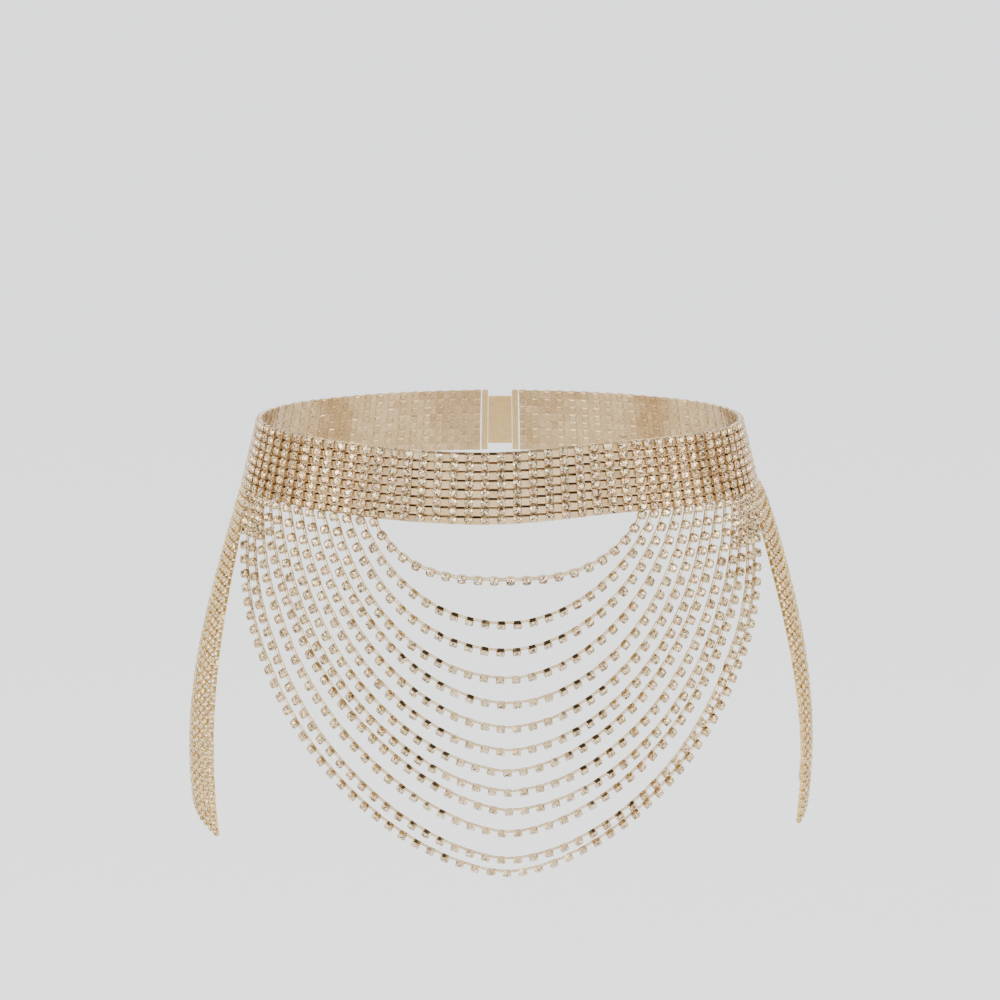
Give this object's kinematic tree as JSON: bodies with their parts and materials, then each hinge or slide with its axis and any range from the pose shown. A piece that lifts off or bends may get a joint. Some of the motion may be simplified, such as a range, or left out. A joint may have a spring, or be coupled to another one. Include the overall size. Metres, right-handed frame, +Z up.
{
  "type": "waist chain",
  "caption": "Worn waist chain of gold rhinestone cup chain: a wide woven band, U-shaped swags across the front and straight fringes at the hips, closed at the back.",
  "frame": {"origin": "middle of the waist loop, halfway up the band, where the wearer's waist axis passes", "axes": "+Z up along the wearer's body, front towards -Y, +X to the right as seen from the front"},
  "size_m": [0.3163, 0.2259, 0.2013],
  "materials": {
    "gold": "polished pale gold cups and links",
    "crystal": "clear cut stones on a foiled back",
    "fittings": "polished gold bars and clasp"
  },
  "bodies": {
    "root": {"waist_band": "gold", "front_swag_01": "gold", "front_swag_02": "gold", "front_swag_03": "gold", "front_swag_04": "gold", "front_swag_05": "gold", "front_swag_06": "gold", "front_swag_07": "gold", "front_swag_08": "gold", "front_swag_09": "gold", "front_swag_10": "gold", "front_swag_11": "gold", "front_swag_12": "gold", "front_swag_13": "gold", "hip_strand_left_01": "gold", "hip_strand_left_02": "gold", "hip_strand_left_03": "gold", "hip_strand_left_04": "gold", "hip_strand_left_05": "gold", "hip_strand_left_06": "gold", "hip_strand_left_07": "gold", "hip_strand_left_08": "gold", "hip_strand_left_09": "gold", "hip_strand_right_01": "gold", "hip_strand_right_02": "gold", "hip_strand_right_03": "gold", "hip_strand_right_04": "gold", "hip_strand_right_05": "gold", "hip_strand_right_06": "gold", "hip_strand_right_07": "gold", "hip_strand_right_08": "gold", "hip_strand_right_09": "gold", "end_bar_left": "fittings", "end_bar_right": "fittings", "clasp": "fittings"}
  },
  "joints": []
}
